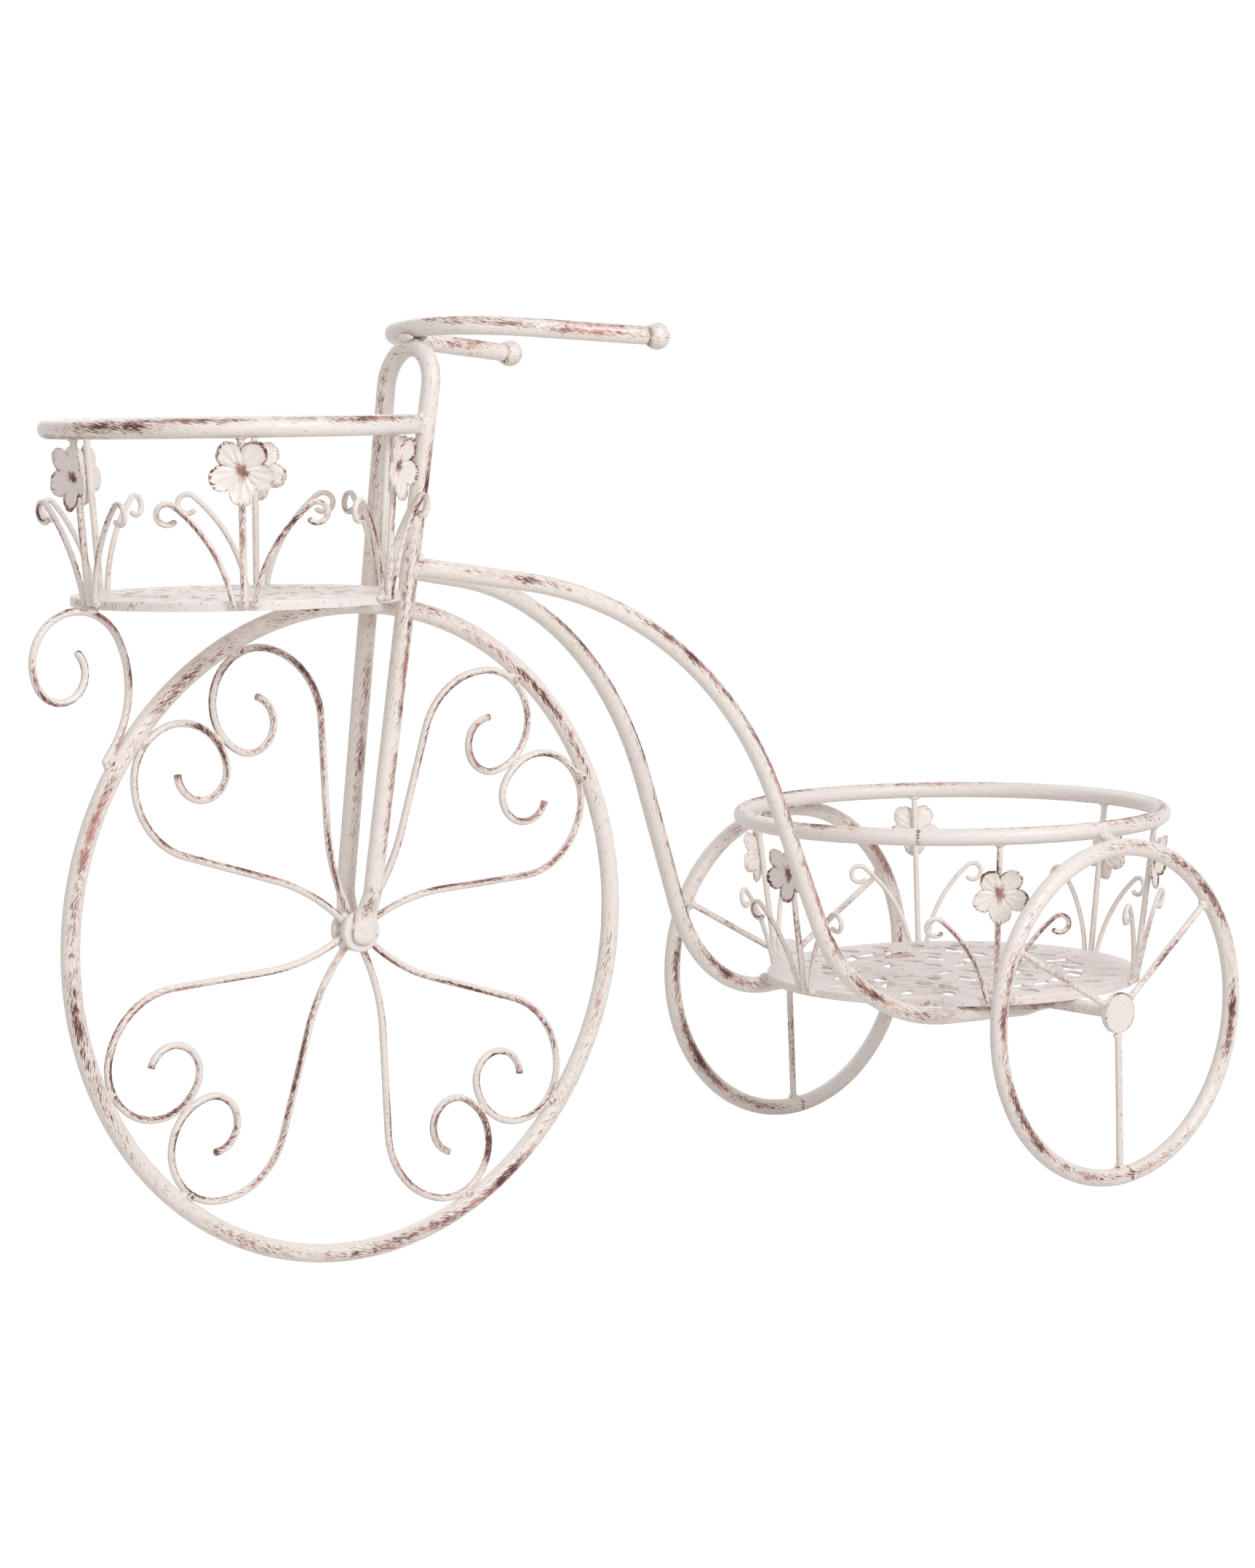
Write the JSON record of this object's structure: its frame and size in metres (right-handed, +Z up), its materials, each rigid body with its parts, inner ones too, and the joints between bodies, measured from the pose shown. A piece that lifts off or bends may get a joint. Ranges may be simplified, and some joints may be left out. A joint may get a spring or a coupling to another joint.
{
  "type": "bicycle planter",
  "caption": "Tricycle-shaped garden plant stand of bent tube and wire, with a scroll-filled front wheel and round flower-trimmed pot baskets over the front wheel and rear axle.",
  "frame": {"origin": "on the ground, at the middle of the whole outline", "axes": "+X from the front wheel to the rear wheels, +Y to the side away from the pictured one, +Z up"},
  "size_m": [0.7641, 0.2994, 0.504],
  "materials": {
    "tube_paint": "satin cream paint, rubbed brown along the sides",
    "wire_paint": "satin cream paint with heavier brown wear",
    "sheet_paint": "satin cream paint, worn at the edges of the piercings",
    "flower_paint": "satin cream paint, brown in the grooves and at the centre"
  },
  "bodies": {
    "root": {"basket_bracket": "wire_paint", "fork": "tube_paint", "frame_tube_far": "tube_paint", "frame_tube_near": "tube_paint", "front_basket_flower_1": "flower_paint", "front_basket_flower_2": "flower_paint", "front_basket_flower_3": "flower_paint", "front_basket_flower_4": "flower_paint", "front_basket_flower_5": "flower_paint", "front_basket_flower_6": "flower_paint", "front_basket_leaves": "wire_paint", "front_basket_plate": "sheet_paint", "front_basket_stem_1": "wire_paint", "front_basket_stem_2": "wire_paint", "front_basket_stem_3": "wire_paint", "front_basket_stem_4": "wire_paint", "front_basket_stem_5": "wire_paint", "front_basket_stem_6": "wire_paint", "front_basket_top_ring": "tube_paint", "front_hub": "tube_paint", "front_rim": "tube_paint", "front_ring_links": "tube_paint", "handlebar": "tube_paint", "handlebar_knob_far": "tube_paint", "handlebar_knob_near": "tube_paint", "rear_axle": "tube_paint", "rear_basket_flower_1": "flower_paint", "rear_basket_flower_2": "flower_paint", "rear_basket_flower_3": "flower_paint", "rear_basket_flower_4": "flower_paint", "rear_basket_flower_5": "flower_paint", "rear_basket_flower_6": "flower_paint", "rear_basket_leaves": "wire_paint", "rear_basket_plate": "sheet_paint", "rear_basket_stem_1": "wire_paint", "rear_basket_stem_2": "wire_paint", "rear_basket_stem_3": "wire_paint", "rear_basket_stem_4": "wire_paint", "rear_basket_stem_5": "wire_paint", "rear_basket_stem_6": "wire_paint", "rear_basket_top_ring": "tube_paint", "rear_hub_far": "tube_paint", "rear_hub_near": "tube_paint", "rear_rim_far": "tube_paint", "rear_rim_near": "tube_paint", "rear_ring_links": "tube_paint", "rear_spokes_far": "wire_paint", "rear_spokes_near": "wire_paint", "wheel_scroll_1": "wire_paint", "wheel_scroll_2": "wire_paint", "wheel_scroll_3": "wire_paint", "wheel_scroll_4": "wire_paint", "wheel_scroll_5": "wire_paint", "wheel_scroll_6": "wire_paint", "wheel_scroll_7": "wire_paint", "wheel_scroll_8": "wire_paint"}
  },
  "joints": []
}
